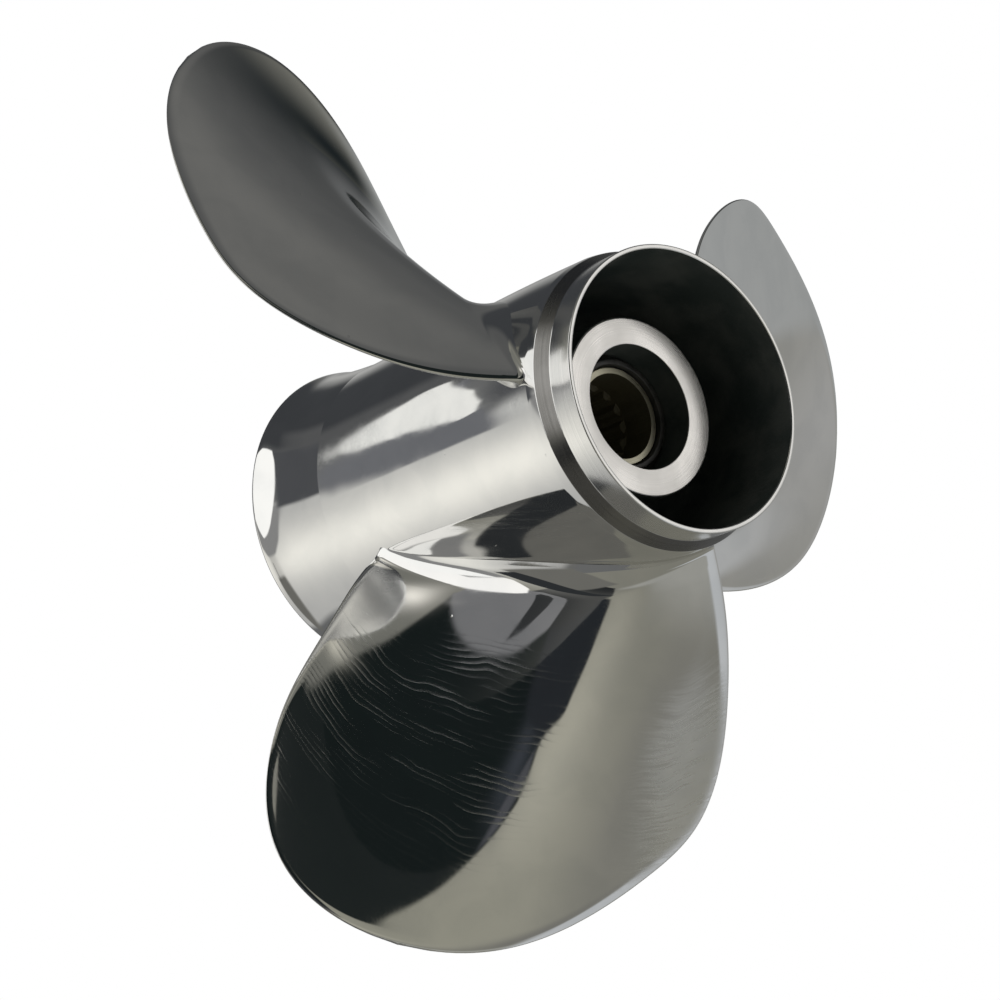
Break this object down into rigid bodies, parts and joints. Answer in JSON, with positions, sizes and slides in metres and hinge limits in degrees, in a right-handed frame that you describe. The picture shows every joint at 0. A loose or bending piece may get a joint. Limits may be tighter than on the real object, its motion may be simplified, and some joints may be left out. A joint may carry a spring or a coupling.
{
  "type": "outboard propeller",
  "caption": "Right-hand outboard boat propeller: broad polished blades on a flared exhaust barrel, with an inner hub, rubber bush and splined brass sleeve.",
  "frame": {"origin": "the balance point, which lies on the shaft axis inside the inner hub", "axes": "+Z along the shaft towards the gearcase, which is forward, +X through the root of blade_1; the blades turn clockwise seen from aft to drive ahead"},
  "size_m": [0.3039, 0.3033, 0.1615],
  "materials": {
    "polished_steel": "mirror-polished stainless steel, satin where machined",
    "cast_steel": "inner hub and webs, faced at the forward end",
    "black_rubber": "semi-gloss moulded rubber",
    "brass": "machined, dull"
  },
  "bodies": {
    "root": {"barrel": "polished_steel", "blade_1": "polished_steel", "blade_2": "polished_steel", "blade_3": "polished_steel", "inner_hub": "cast_steel", "rib_1": "cast_steel", "rib_2": "cast_steel", "rib_3": "cast_steel", "rubber_bush": "black_rubber", "spline_sleeve": "brass"}
  },
  "joints": []
}
